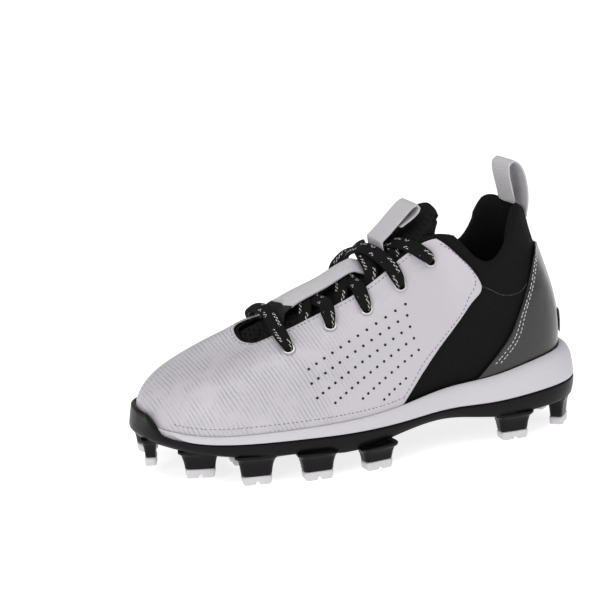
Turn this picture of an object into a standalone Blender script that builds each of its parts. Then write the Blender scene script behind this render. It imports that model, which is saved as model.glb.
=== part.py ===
"""A moulded baseball cleat for the left foot, youth size, standing on its studs.

Frame: metres, +X from heel to toe, +Y to the outer (lateral) side, +Z up, with the origin on the
floor under the middle of the sole. Every wall of the shoe is read from one loop of stations that
runs round the last: from the toe along the lateral side to the heel and back along the medial side.
"""
import math

import bpy
import bmesh
import numpy as np
from mathutils import Vector

MM = 0.001

# Main sizes of the shoe
LENGTH = 235 * MM
BALL_WIDTH = 88 * MM
HEEL_HEIGHT = 113 * MM
INSTEP_HEIGHT = 97 * MM
GAP = 0.3 * MM

# Sole sizes
STUD_HEIGHT = 12.5 * MM
TOE_SPRING = 12 * MM
PLATE_SIDE = 11 * MM
PLATE_FLOOR = 3 * MM
PLATE_LIP = 2 * MM
BUMPER_RISE = 9 * MM
BUMPER_WALL = 1.8 * MM
RIM_HEIGHT = 16.5 * MM
LEDGE = 9.5 * MM
TUCK = 4 * MM
INSOLE_THICKNESS = 3.5 * MM

# Upper sizes
WALL = 2.0 * MM
COLLAR_PAD = 3.4 * MM
PANEL = 1.0 * MM
PANEL_GAP = 0.55 * MM
COUNTER = 0.9 * MM
COUNTER_GAP = 0.75 * MM
EYELET_DROP = 11.8 * MM
FIRST_EYELET_DROP = 16.2 * MM
EYELET_HOLE = 2.3 * MM
EYELET_RING = 3.3 * MM
EYELET_RISE = 0.7 * MM
EYELET_STATIONS = (4.05, 5.1, 6.1, 7.05, 7.95)

# Tongue, webbing and lace sizes
TONGUE = 4 * MM
TONGUE_CROWN = 6.5 * MM
WEBBING = 1.3 * MM
STRIP_WIDTH = 17 * MM
TONGUE_LOOP_WIDTH = 20 * MM
PULL_LOOP_WIDTH = 19 * MM
PULL_LOOP_LENGTH = 29 * MM
PULL_LOOP_OPEN = 7 * MM
PULL_LOOP_LEAN = 7 * MM
PULL_LOOP_TURN = math.radians(3)
LACE_WIDTH = 6.4 * MM
LACE_THICKNESS = 2.6 * MM

# Studs
STUD_LONG = 15 * MM
STUD_WIDE = 7.5 * MM
STUD_TIP = 4.2 * MM
STUD_NOTCH = 1.6 * MM

# Each row is one section of the last, from heel to toe. along is a share of LENGTH; lateral and
# medial are half widths of the sole as shares of half BALL_WIDTH; the edge columns place the end of
# the wall, at the collar or the throat: edge_along of LENGTH, edge_across of half BALL_WIDTH, and a
# height of instep shares of INSTEP_HEIGHT plus heel shares of HEEL_HEIGHT; arrive is the wall's
# slope in degrees where it ends, and flare how far it leans out where it leaves the sole.
# The first row and the last are the single points at the heel and the toe.
SECTION_COLUMNS = (
    "along", "lateral", "medial", "edge_along", "edge_across", "instep", "heel", "arrive", "flare",
)
SECTIONS = (
    (0.000, 0.00, 0.00, 0.106, 0.000, 0.000, 0.990, 78, 9),
    (0.022, 0.38, 0.35, 0.130, 0.262, 0.000, 1.010, 81, 9),
    (0.075, 0.62, 0.58, 0.167, 0.487, 0.000, 1.003, 83, 11),
    (0.155, 0.72, 0.67, 0.237, 0.615, 0.000, 0.785, 87, 9),
    (0.245, 0.74, 0.64, 0.317, 0.593, 0.490, 0.528, 85, 8),
    (0.335, 0.73, 0.60, 0.384, 0.435, 1.100, 0.000, 60, 7),
    (0.425, 0.83, 0.63, 0.451, 0.370, 0.968, 0.000, 47, 6),
    (0.520, 0.93, 0.76, 0.521, 0.340, 0.852, 0.000, 41, 6),
    (0.630, 1.00, 0.91, 0.589, 0.330, 0.785, 0.000, 37, 7),
    (0.745, 0.95, 0.98, 0.660, 0.311, 0.722, 0.000, 34, 8),
    (0.850, 0.81, 0.93, 0.708, 0.273, 0.694, 0.000, 31, 9),
    (0.935, 0.55, 0.75, 0.734, 0.216, 0.670, 0.000, 29, 12),
    (0.985, 0.20, 0.45, 0.746, 0.136, 0.647, 0.000, 27, 15),
    (1.000, -0.17, -0.17, 0.751, 0.000, 0.631, 0.000, 24, 16),
)

# The throat's front end turns to the big toe: how far its medial side runs ahead of its lateral
# side, and above it, as shares of the way across.
THROAT_TURN = 0.45
THROAT_TILT = 0.28

# Heights of the sole: bottom of the plate as a share of TOE_SPRING above the studs, then the
# plate's side of PLATE_SIDE, the midsole's rim of RIM_HEIGHT, and the ledge of LEDGE in plan.
SOLE_COLUMNS = ("along", "bottom", "side", "rim", "ledge")
SOLE_LEVELS = (
    (0.00, 0.24, 0.93, 0.99, 1.10),
    (0.12, 0.08, 0.94, 0.92, 0.96),
    (0.24, 0.02, 0.80, 0.76, 0.78),
    (0.38, 0.34, 0.48, 0.59, 0.58),
    (0.48, 0.10, 0.60, 0.45, 0.50),
    (0.57, -0.25, 0.98, 0.38, 0.46),
    (0.66, 0.03, 0.75, 0.32, 0.44),
    (0.78, 0.09, 0.70, 0.27, 0.44),
    (0.89, 0.28, 0.54, 0.22, 0.45),
    (0.96, 0.52, 0.50, 0.20, 0.54),
    (1.00, 0.66, 0.44, 0.22, 0.64),
)

# Studs by name: along the sole, across it as a share of the half width there, turn in degrees
# from the sole's edge, and size.
STUD_COLUMNS = ("name", "along", "across", "turn", "size")
STUDS = (
    ("toe_lateral", 0.968, 0.05, 78, 0.72),
    ("toe_medial", 0.950, -0.66, 35, 0.72),
    ("lateral_1", 0.885, 0.62, 0, 1.00),
    ("lateral_2", 0.783, 0.83, 0, 1.00),
    ("lateral_3", 0.660, 0.90, 0, 1.00),
    ("lateral_4", 0.527, 0.93, 0, 1.00),
    ("medial_1", 0.850, -0.84, 0, 1.00),
    ("medial_2", 0.735, -0.87, 0, 1.00),
    ("medial_3", 0.610, -0.86, 0, 1.00),
    ("middle", 0.780, 0.02, 90, 0.90),
    ("heel_lateral", 0.193, 0.82, 0, 1.00),
    ("heel_medial", 0.193, -0.82, 0, 1.00),
    ("heel_back_lateral", 0.056, 0.55, 42, 0.90),
    ("heel_back_medial", 0.056, -0.55, -42, 0.90),
)

# Shares of the wall's height where the upper has its rows.
WALL_ROWS = (0, 0.08, 0.18, 0.30, 0.43, 0.56, 0.68, 0.77, 0.84, 0.89, 0.94, 0.98)
# The white forepart panel ends on each side along this line: height up the wall as a share of it,
# and the station round the last, lateral side counted.
PANEL_REAR = (
    (0.00, 6.50), (0.15, 7.05), (0.26, 7.43), (0.36, 8.00), (0.48, 8.65), (0.655, 9.33), (0.74, 9.50),
    (0.83, 9.62), (0.88, 9.52), (0.93, 8.80), (1.00, 8.33),
)
# The heel counter reaches this many stations to each side of the heel, at each height of the wall.
COUNTER_REACH = (
    (0.00, 4.57), (0.125, 3.90), (0.25, 3.45), (0.46, 2.87), (0.53, 2.50), (0.60, 2.20), (0.67, 1.90),
    (0.72, 1.45), (0.755, 1.00),
)
COUNTER_TOP = 0.755

HEEL_ROW = len(SECTIONS) - 1
LOOP = 2 * HEEL_ROW
# Stations of the lateral half where the walls have their columns, closer at the toe and the collar.
HALF_STATIONS = (
    0, 0.4, 0.8, 1.1, 1.3, 1.5, 1.75, 2.1, 2.6, 3.2, 3.9, 4.6, 5.3, 6, 6.7, 7.4, 8,
    8.5, 9, 9.5, 10, 10.5, 11, 11.5, 12, 12.5, 13,
)


def smooth(x):
    x = np.clip(x, 0, 1)
    return x * x * (3 - 2 * x)


def read_table(rows, columns, name, at):
    """A column of a table of sections, read smoothly between its rows."""
    table = np.array([row[:len(columns)] for row in rows], float)
    xs, ys = table[:, 0], table[:, columns.index(name)]
    slopes = np.gradient(ys, xs)
    at = np.clip(np.asarray(at, float), xs[0], xs[-1])
    i = np.clip(np.searchsorted(xs, at, side="right") - 1, 0, len(xs) - 2)
    span = xs[i + 1] - xs[i]
    u = (at - xs[i]) / span
    return (
        (2 * u**3 - 3 * u**2 + 1) * ys[i] + (u**3 - 2 * u**2 + u) * span * slopes[i]
        + (3 * u**2 - 2 * u**3) * ys[i + 1] + (u**3 - u**2) * span * slopes[i + 1]
    )


def station_rows(name):
    """One column of SECTIONS as a loop: toe, lateral side, heel, medial side."""
    column = SECTION_COLUMNS.index(name)
    lateral = [row[column] for row in reversed(SECTIONS)]
    return np.array(lateral + lateral[-2:0:-1], float)


def across_rows(lateral_name, medial_name):
    """Offsets to the side round the loop: plus on the lateral side, minus on the medial side."""
    lateral, medial = (SECTION_COLUMNS.index(n) for n in (lateral_name, medial_name))
    forward = [row[lateral] for row in reversed(SECTIONS)]
    back = [-row[medial] for row in SECTIONS[1:-1]]
    return np.array(forward + back, float)


def round_loop(values, t):
    """A closed smooth curve through one value per station, read at t stations round the loop."""
    t = np.asarray(t, float) % LOOP
    i = np.floor(t).astype(int)
    u = t - i
    a, b, c, d = (values[(i + k) % LOOP] for k in (-1, 0, 1, 2))
    return 0.5 * (
        2 * b + (c - a) * u + (2 * a - 5 * b + 4 * c - d) * u**2 + (3 * b - a - 3 * c + d) * u**3
    )


def outline(t, inset=0.0):
    """The sole's outline in plan at station t, drawn in by inset, and its outward direction."""
    def point(s):
        x = (round_loop(station_rows("along"), s) - 0.5) * LENGTH
        y = round_loop(across_rows("lateral", "medial"), s) * BALL_WIDTH / 2
        return np.stack([x, y], -1)

    step = 0.02
    ahead = point(np.asarray(t) + step) - point(np.asarray(t) - step)
    ahead /= np.linalg.norm(ahead, axis=-1, keepdims=True)
    outward = np.stack([ahead[..., 1], -ahead[..., 0]], -1)
    return point(t) - outward * np.asarray(inset)[..., None], outward


def levels(along):
    """Bottom of the plate, top of its side, and top of the midsole's rim, above the floor."""
    bottom = STUD_HEIGHT + read_table(SOLE_LEVELS, SOLE_COLUMNS, "bottom", along) * TOE_SPRING
    lip = bottom + read_table(SOLE_LEVELS, SOLE_COLUMNS, "side", along) * PLATE_SIDE
    rim = lip + read_table(SOLE_LEVELS, SOLE_COLUMNS, "rim", along) * RIM_HEIGHT
    return bottom, lip, rim


def ledge(along):
    return read_table(SOLE_LEVELS, SOLE_COLUMNS, "ledge", along) * LEDGE


def wall_ends(t):
    """Foot and top edge of the upper's wall at station t, with its two slopes."""
    along = round_loop(station_rows("along"), t)
    foot_plan, outward = outline(t, ledge(along))
    foot = np.concatenate([foot_plan, (levels(along)[2] - TUCK)[..., None]], -1)
    x = (round_loop(station_rows("edge_along"), t) - 0.5) * LENGTH
    y = round_loop(across_rows("edge_across", "edge_across"), t) * BALL_WIDTH / 2
    z = (
        round_loop(station_rows("instep"), t) * INSTEP_HEIGHT
        + round_loop(station_rows("heel"), t) * HEEL_HEIGHT
    )
    turned = smooth((5 - np.abs((np.asarray(t) + HEEL_ROW) % LOOP - HEEL_ROW)) / 4)
    x = x - y * THROAT_TURN * turned
    z = z - y * THROAT_TILT * turned
    arrive = np.radians(round_loop(station_rows("arrive"), t))
    flare = np.radians(round_loop(station_rows("flare"), t))
    return foot, np.stack([x, y, z], -1), outward, arrive, flare


def wall(t, r):
    """Outer surface of the upper: station t round the last, share r of the way up its wall."""
    t, r = np.broadcast_arrays(np.asarray(t, float), np.asarray(r, float))
    foot, edge, outward, arrive, flare = wall_ends(t)
    reach = np.linalg.norm(edge - foot, axis=-1, keepdims=True)
    heading = (edge - foot)[..., :2]
    heading = heading / np.linalg.norm(heading, axis=-1, keepdims=True)
    leave = np.concatenate([outward * np.sin(flare)[..., None], np.cos(flare)[..., None]], -1)
    land = np.concatenate([heading * np.cos(arrive)[..., None], np.sin(arrive)[..., None]], -1)
    second = foot + leave * reach * 0.42
    third = edge - land * reach * 0.38
    r = r[..., None]
    return (
        foot * (1 - r)**3 + second * 3 * r * (1 - r)**2 + third * 3 * r * r * (1 - r) + edge * r**3
    )


def wall_normal(t, r):
    t, r = np.broadcast_arrays(np.asarray(t, float), np.asarray(r, float))
    low, high = np.clip(r - 0.01, 0, 1), np.clip(r + 0.01, 0, 1)
    along = wall(t + 0.05, r) - wall(t - 0.05, r)
    up = wall(t, high) - wall(t, low)
    normal = np.cross(along, up)
    return normal / np.linalg.norm(normal, axis=-1, keepdims=True)


def skin(t, r, proud=0.0):
    """A point that stands proud of the upper's outer surface."""
    return wall(t, r) + wall_normal(t, r) * np.asarray(proud)[..., None]


def material(name, colour, roughness, metallic=0.0):
    made = bpy.data.materials.new(name)
    made.use_nodes = True
    shader = made.node_tree.nodes["Principled BSDF"]
    shader.inputs["Base Color"].default_value = (*colour, 1)
    shader.inputs["Roughness"].default_value = roughness
    shader.inputs["Metallic"].default_value = metallic
    return made


def add_object(name, points, faces, look):
    """A named object from points and faces, its faces turned outwards."""
    mesh = bpy.data.meshes.new(name)
    mesh.from_pydata([tuple(map(float, p)) for p in points], [], faces)
    body = bmesh.new()
    body.from_mesh(mesh)
    bmesh.ops.remove_doubles(body, verts=body.verts, dist=1e-7)
    bmesh.ops.recalc_face_normals(body, faces=body.faces)
    if body.calc_volume(signed=True) < 0:
        bmesh.ops.reverse_faces(body, faces=body.faces)
    body.to_mesh(mesh)
    body.free()
    mesh.shade_smooth()
    mesh.set_sharp_from_angle(angle=math.radians(40))
    made = bpy.data.objects.new(name, mesh)
    mesh.materials.append(look)
    bpy.context.scene.collection.objects.link(made)
    return made


def ring_faces(rings, count, closed_rings=False):
    """Quads between rings of count points each, around; closed_rings joins the last to the first."""
    last = rings if closed_rings else rings - 1
    return [
        (i * count + j, i * count + (j + 1) % count,
         (i + 1) % rings * count + (j + 1) % count, (i + 1) % rings * count + j)
        for i in range(last) for j in range(count)
    ]


def sheet_solid(name, outer, inner, look):
    """A thin solid between two grids of points of one size, closed round all four edges."""
    rows, count = outer.shape[:2]
    points = list(outer.reshape(-1, 3)) + list(inner.reshape(-1, 3))
    shift = rows * count

    def quad(i, j):
        return (i * count + j, i * count + j + 1, (i + 1) * count + j + 1, (i + 1) * count + j)

    faces = []
    for i in range(rows - 1):
        for j in range(count - 1):
            faces += [quad(i, j), tuple(k + shift for k in reversed(quad(i, j)))]
    border = (
        [j for j in range(count - 1)]
        + [i * count + count - 1 for i in range(rows - 1)]
        + [(rows - 1) * count + j for j in range(count - 1, 0, -1)]
        + [i * count for i in range(rows - 1, 0, -1)]
    )
    for a, b in zip(border, border[1:] + border[:1]):
        faces.append((a, a + shift, b + shift, b))
    return add_object(name, points, faces, look)


def stations(every=1):
    """The columns round the whole shoe, the same on both sides."""
    half = np.array(HALF_STATIONS[::every], float)
    return np.concatenate([half, LOOP - half[-2:0:-1]])


def half_turn(t):
    """Station t on the other side of the shoe."""
    return (LOOP - np.asarray(t, float)) % LOOP


def mix(a, b, share):
    share = np.asarray(share, float)
    return a + (b - a) * (share[..., None] if share.ndim else share)


def sole_ring(t, inset, height, share=0.0):
    """A ring in plan, drawn in by inset and then share of the way to the sole's middle line.

    height is a function of the position along the sole.
    """
    plan, _ = outline(t, inset)
    other, _ = outline(half_turn(t), inset)
    middle = (plan + other) / 2
    middle[:, 0] = middle[:, 0] * 0.86
    plan = mix(plan, middle, share)
    along = plan[:, 0] / LENGTH + 0.5
    return np.concatenate([plan, height(along)[:, None]], -1)


def plate_bottom(along):
    return levels(along)[0]


def plate_top(along):
    return levels(along)[1]


def rim_top(along):
    return levels(along)[2]


def seat(along):
    """Where the upper and the insole rest, inside the midsole's rim."""
    return rim_top(along) - TUCK


def bumper_height(t):
    """How far the plate's side is drawn up round the toe."""
    t = np.asarray(t, float) % LOOP
    away = np.where(t < HEEL_ROW, t, LOOP - t - 0.3)
    return smooth((1.62 - away) / 0.55) * BUMPER_RISE


def wall_share_at(t, height):
    """How far up the wall at station t it passes a height, found by halving."""
    low, high = np.zeros_like(t), np.full_like(t, 0.6)
    for _ in range(24):
        middle = (low + high) / 2
        above = wall(t, middle)[:, 2] > height
        low, high = np.where(above, low, middle), np.where(above, middle, high)
    return low


def hug(t, height, proud):
    """A ring that follows the upper's skin at a height."""
    ring = skin(t, wall_share_at(t, height), proud)
    ring[:, 2] = height
    return ring


CLEAR = COUNTER_GAP + COUNTER + GAP


def make_outsole(look):
    """The moulded plate with its raised side, the bumper round the toe, and its studs."""
    t = stations()
    along = round_loop(station_rows("along"), t)
    lip, rim = levels(along)[1:]
    crest = lip + bumper_height(t)
    lowest = np.minimum.reduce([bumper_height(t + step) for step in (-0.25, 0, 0.25)])
    over = smooth((lip + lowest - rim - 0.6 * MM) / (2.2 * MM))

    def side(inset, height, proud):
        plan, _ = outline(t, inset)
        plain = np.concatenate([plan, height[:, None]], -1)
        return mix(plain, hug(t, height, proud), over)

    rings = [
        sole_ring(t, 3.2 * MM, plate_bottom, 1.0),
        sole_ring(t, 3.2 * MM, plate_bottom, 0.5),
        sole_ring(t, 3.2 * MM, plate_bottom),
        sole_ring(t, 1.0 * MM, lambda a: plate_bottom(a) + 1.2 * MM),
        sole_ring(t, 0.0 * MM, lambda a: plate_bottom(a) * 0.45 + plate_top(a) * 0.55),
        sole_ring(t, 0.0 * MM, lambda a: plate_top(a) - 0.7 * MM),
        side(0.2 * MM, crest - 0.5 * MM, CLEAR + BUMPER_WALL),
        side(PLATE_LIP / 2, crest, CLEAR + BUMPER_WALL / 2),
        side(PLATE_LIP, crest - 0.4 * MM, CLEAR),
    ]
    step = (crest - 0.6 * MM) * (1 - over) + (rim + GAP + 0.3 * MM) * over
    rings.append(side(PLATE_LIP, step, CLEAR))
    plan, _ = outline(t, PLATE_LIP)
    shelf = (crest - 0.8 * MM) * (1 - over) + (rim + GAP) * over
    rings.append(np.concatenate([plan, shelf[:, None]], -1))
    rings += [
        sole_ring(t, PLATE_LIP, lambda a: plate_bottom(a) + PLATE_FLOOR + 1 * MM),
        sole_ring(t, PLATE_LIP + 1 * MM, lambda a: plate_bottom(a) + PLATE_FLOOR),
        sole_ring(t, PLATE_LIP + 1 * MM, lambda a: plate_bottom(a) + PLATE_FLOOR, 0.5),
        sole_ring(t, PLATE_LIP + 1 * MM, lambda a: plate_bottom(a) + PLATE_FLOOR, 1.0),
    ]
    plate = ring_solid("outsole", rings, look)
    for name, along_at, across, turn, size in STUDS:
        stud = make_stud("root_" + name, *stud_place(along_at, across, turn), size, look)
        join(plate, stud)
    return plate


def stud_place(along, across, turn):
    """Middle of a stud on the floor plane, its heading in radians, and the plate's height there."""
    lateral = across >= 0
    side = "lateral" if lateral else "medial"
    reach = read_table(SECTIONS, SECTION_COLUMNS, side, along) * BALL_WIDTH / 2
    ahead = read_table(SECTIONS, SECTION_COLUMNS, side, along + 0.01) * BALL_WIDTH / 2
    heading = math.atan2((ahead - reach) * across, 0.01 * LENGTH) + math.radians(turn)
    bottom = float(plate_bottom(np.array([along]))[0])
    raised = max(0.0, bottom - STUD_HEIGHT) if along > 0.88 else 0.0
    foot = Vector(((along - 0.5) * LENGTH, float(reach) * across, raised))
    return foot, heading, bottom


def stud_ring(foot, heading, long, wide, height, corner=0.4, count=10):
    """One level of a stud: a rounded oblong."""
    ring = []
    for k in range(count):
        a = 2 * math.pi * (k + 0.5) / count
        c, s = math.cos(a), math.sin(a)
        u = math.copysign(abs(c) ** corner, c) * long / 2
        v = math.copysign(abs(s) ** corner, s) * wide / 2
        ring.append((
            foot.x + u * math.cos(heading) - v * math.sin(heading),
            foot.y + u * math.sin(heading) + v * math.cos(heading),
            foot.z + height,
        ))
    return ring


def make_stud(name, foot, heading, bottom, size, look):
    """The black root of a stud, with hollow flanks, from its tip's seam up into the plate."""
    tall = bottom - foot.z
    long, wide = STUD_LONG * size, STUD_WIDE * size
    seam = STUD_TIP + GAP
    rings = [stud_ring(foot, heading, long, wide, seam)]
    for share, spread in ((0.5, 0.9), (0.85, 3.4), (1.0, 6.2)):
        grown = spread * MM * size
        height = seam + (tall - seam) * share
        rings.append(stud_ring(foot, heading, long + grown, wide + grown * 0.8, height, 0.35 + 0.1 * share))
    grown = 6.4 * MM * size
    top = stud_ring(foot, heading, long + grown, wide + grown * 0.8, tall + 1.4 * MM, 0.45)
    inside = plate_bottom(np.array([x / LENGTH + 0.5 for x, y, z in top])) + PLATE_FLOOR - 0.8 * MM
    rings.append([(x, y, min(z, float(most))) for (x, y, z), most in zip(top, inside)])
    return ring_solid(name, rings, look)


def make_tip(name, foot, heading, size, look):
    """The white end of a stud, with a notch across the middle of its flat."""
    long, wide = STUD_LONG * size / 2, STUD_WIDE * size / 2
    profile = (
        (-long, STUD_TIP), (-long + 0.8 * MM, 0.0), (-1.3 * MM, 0.0),
        (-0.5 * MM, STUD_NOTCH), (0.5 * MM, STUD_NOTCH), (1.3 * MM, 0.0),
        (long - 0.8 * MM, 0.0), (long, STUD_TIP),
    )
    rings = []
    for v, shrink in ((-wide, 0.88), (-wide + 0.9 * MM, 1.0), (wide - 0.9 * MM, 1.0), (wide, 0.88)):
        ring = []
        for u, z in profile:
            u *= shrink
            ring.append((
                foot.x + u * math.cos(heading) - v * math.sin(heading),
                foot.y + u * math.sin(heading) + v * math.cos(heading),
                foot.z + z,
            ))
        rings.append(ring)
    count = len(profile)
    points = [p for ring in rings for p in ring]
    faces = ring_faces(len(rings), count)
    faces += [tuple(range(count)), tuple(range(3 * count, 4 * count))]
    return add_object(name, points, faces, look)


def make_midsole(look):
    """The foam midsole: it sits in the plate, and its rounded rim holds the upper's foot."""
    t = stations()
    along = round_loop(station_rows("along"), t)
    lip, rim = levels(along)[1:]
    crest = lip + np.maximum.reduce([bumper_height(t + step) for step in (-0.45, -0.2, 0, 0.2, 0.45)])
    shelf = np.minimum(crest + GAP, rim - 0.8 * MM)
    shown = smooth((rim - crest - 1.4 * MM) / (1.2 * MM))
    inner = PLATE_LIP + GAP
    floor = PLATE_FLOOR + GAP
    rings = [
        sole_ring(t, inner + 1 * MM, lambda a: plate_bottom(a) + floor, 1.0),
        sole_ring(t, inner + 1 * MM, lambda a: plate_bottom(a) + floor, 0.5),
        sole_ring(t, inner + 1 * MM, lambda a: plate_bottom(a) + floor),
        sole_ring(t, inner, lambda a: plate_bottom(a) + floor + 1 * MM),
    ]
    width = ledge(along) - CLEAR

    def level(inset, height):
        plan, _ = outline(t, inset)
        return np.concatenate([plan, (height + 0 * t)[:, None]], -1)

    rings.append(level(inner, shelf))
    for turn in (0, 33, 62, 90):
        a = math.radians(turn)
        inset = width * (1 - math.cos(a) ** 0.8) * 0.86
        height = shelf + (rim - shelf) * math.sin(a) ** 0.9
        inset = np.maximum(inset * shown, inner * (1 - shown))
        rings.append(level(inset, height + 0.02 * MM * (turn == 0)))
    rings.append(hug(t, rim - 0.35 * MM, CLEAR))
    low = skin(t, np.zeros_like(t), CLEAR)
    low[:, 2] = seat(along)
    rings.append(low)
    for share in (0.5, 1.0):
        rings.append(sole_ring(t, ledge(along) - CLEAR, seat, share))
    return ring_solid("midsole", rings, look)


def pad_share(t):
    """1 round the padded collar, 0 along the throat."""
    away = np.abs((np.asarray(t, float) % LOOP) - HEEL_ROW)
    return smooth((4.5 - away) / 1.4)


def thickness(t, r):
    return WALL + COLLAR_PAD * pad_share(t) * smooth((np.asarray(r) - 0.62) / 0.2)


def make_upper(look):
    """The whole upper as one hollow wall, open at the collar, the throat and underneath."""
    t = stations()
    outer_shares = np.array(WALL_ROWS, float)
    inner_shares = np.array([0.98, 0.88, 0.76, 0.6, 0.35, 0.12, 0])
    rings = [skin(t, r) for r in outer_shares]
    crown = skin(t, 1.0, -thickness(t, 1.0) / 2)
    rise = wall(t, 1.0) - wall(t, 0.97)
    rise /= np.linalg.norm(rise, axis=-1, keepdims=True)
    rings.append(crown + rise * (0.6 * MM + 0.25 * (thickness(t, 1.0) - WALL))[:, None])
    rings += [skin(t, r, -thickness(t, r)) for r in inner_shares]
    along = rings[0][:, 0] / LENGTH + 0.5
    foot = seat(round_loop(station_rows("along"), t)) + GAP
    rings[0][:, 2] = foot
    rings[-1][:, 2] = foot
    return ring_solid("upper", rings, look, closed=True)


def make_insole(look):
    t = stations(2)
    along = round_loop(station_rows("along"), t)
    base = seat(along) + 2 * GAP
    rings = []
    for height, inset in ((0.1 * MM, 0.8 * MM), (0.8 * MM, 0.0), (INSOLE_THICKNESS - 0.8 * MM, 0.0),
                          (INSOLE_THICKNESS, 0.8 * MM)):
        rings.append(hug(t, base + height + 0.3 * MM, -(WALL + GAP + 1.2 * MM + inset)))
        rings[-1][:, 2] -= 0.3 * MM
    bottom, top = rings[0], rings[-1]
    lead = [to_middle(bottom, 1.0), to_middle(bottom, 0.5)]
    tail = [to_middle(top, 0.5), to_middle(top, 1.0)]
    return ring_solid("insole", lead + rings + tail, look)


def to_middle(ring, share):
    """A ring drawn towards the line midway between the two sides of the shoe."""
    other = ring[(-np.arange(len(ring))) % len(ring)]
    middle = (ring + other) / 2
    middle[:, 0] *= 0.86
    lift = np.interp(middle[:, 0], np.sort(ring[:, 0]), ring[np.argsort(ring[:, 0]), 2])
    middle[:, 2] = lift
    return mix(ring, middle, share)


def panel_sheet(name, middle, reaches, heights, gap, proud, look):
    """A panel laid over the upper, as far as its reach each side of a middle station.

    Its columns are the upper's own, so that the two faceted faces stay the same distance apart.
    """
    near = stations()
    near = np.sort((near - middle + LOOP / 2) % LOOP - LOOP / 2)
    near = near[np.abs(near) < max(reaches)]
    inner, outer = [], []
    for r, reach in zip(heights, reaches):
        away = np.where(np.abs(near) > reach - 0.13, reach * np.sign(near), near)
        away = np.concatenate([[-reach], away, [reach]])
        t = (away + middle) % LOOP
        inner.append(skin(t, r, gap))
        outer.append(skin(t, r, gap + proud))
    return sheet_solid(name, np.array(outer), np.array(inner), look)


def make_vamp_panel(look):
    heights = (0.03,) + WALL_ROWS[1:]
    reaches = np.interp(heights, *zip(*PANEL_REAR))
    return panel_sheet("vamp_panel", 0, reaches, heights, PANEL_GAP, PANEL, look)


def make_heel_counter(look):
    heights = (0.04,) + tuple(r for r in WALL_ROWS if 0.04 < r < COUNTER_TOP) + (0.71, 0.735, COUNTER_TOP)
    reaches = np.interp(heights, *zip(*COUNTER_REACH))
    return panel_sheet("heel_counter", HEEL_ROW, reaches, heights, COUNTER_GAP, COUNTER, look)


def make_heel_patch(look):
    """A small plain patch low on the back of the heel, over the counter."""
    rows = []
    for proud in (CLEAR, CLEAR + 0.5 * MM):
        rows.append([skin(np.linspace(HEEL_ROW - 0.75, HEEL_ROW + 0.75, 7), r, proud)
                     for r in np.linspace(0.10, 0.24, 4)])
    return sheet_solid("heel_patch", np.array(rows[1]), np.array(rows[0]), look)


def eyelet_spot(station, side, drop=EYELET_DROP):
    """Station and share of the wall where an eyelet sits, a drop below the throat's edge."""
    t = float(station if side > 0 else LOOP - station)
    if station == EYELET_STATIONS[0]:
        drop *= FIRST_EYELET_DROP / EYELET_DROP
    at = np.array([t])
    length = np.linalg.norm(wall(at, 1.0) - wall(at, 0.8), axis=-1)[0] / 0.2
    return t, 1 - drop / length


def make_eyelet(name, t, r, look):
    """A thin metal ring round a lace hole, laid on the panel's curved face."""
    at = np.array([t])
    along = (wall(at + 0.1, r) - wall(at - 0.1, r))[0] / 0.2
    up = (wall(at, r + 0.02) - wall(at, r - 0.02))[0] / 0.04
    base = PANEL_GAP + PANEL + 0.5 * MM
    section = (
        (EYELET_HOLE, base), (EYELET_RING, base),
        (EYELET_RING - 0.2 * MM, base + EYELET_RISE), (EYELET_HOLE + 0.1 * MM, base + EYELET_RISE),
    )
    flat = along / np.linalg.norm(along)
    steep = up - flat * (up @ flat)
    steep /= np.linalg.norm(steep)
    solve = np.linalg.pinv(np.stack([along, up], -1))
    turns = np.arange(10) * math.pi / 5
    rings = []
    for radius, proud in section:
        moves = (np.cos(turns)[:, None] * flat + np.sin(turns)[:, None] * steep) * radius
        steps = moves @ solve.T
        rings.append(skin(t + steps[:, 0], r + steps[:, 1], proud))
    return ring_solid(name, np.array(rings), look, closed=True)


def cut_hole(target, centre, normal, radius):
    """Cuts a round hole square through a thin piece."""
    bpy.ops.mesh.primitive_cylinder_add(vertices=10, radius=radius, depth=12 * MM, location=centre)
    cutter = bpy.context.object
    cutter.rotation_mode = "QUATERNION"
    cutter.rotation_quaternion = normal.to_track_quat("Z", "Y")
    boolean(target, cutter, "DIFFERENCE")


def join(target, other):
    boolean(target, other, "UNION")


def boolean(target, other, operation):
    """Applies a boolean to target at once and removes the other object."""
    change = target.modifiers.new("change", "BOOLEAN")
    change.operation = operation
    change.solver = "EXACT"
    change.object = other
    bpy.context.view_layer.update()
    result = bpy.data.meshes.new_from_object(
        target.evaluated_get(bpy.context.evaluated_depsgraph_get())
    )
    target.modifiers.remove(change)
    result.name = target.name
    target.data = result
    bpy.data.objects.remove(other)
    tidy = bmesh.new()
    tidy.from_mesh(result)
    bmesh.ops.remove_doubles(tidy, verts=tidy.verts, dist=2e-5)
    bmesh.ops.dissolve_degenerate(tidy, dist=1e-5, edges=tidy.edges)
    tidy.to_mesh(result)
    tidy.free()


THROAT_END = 8.15
TONGUE_FREE = 3


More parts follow.
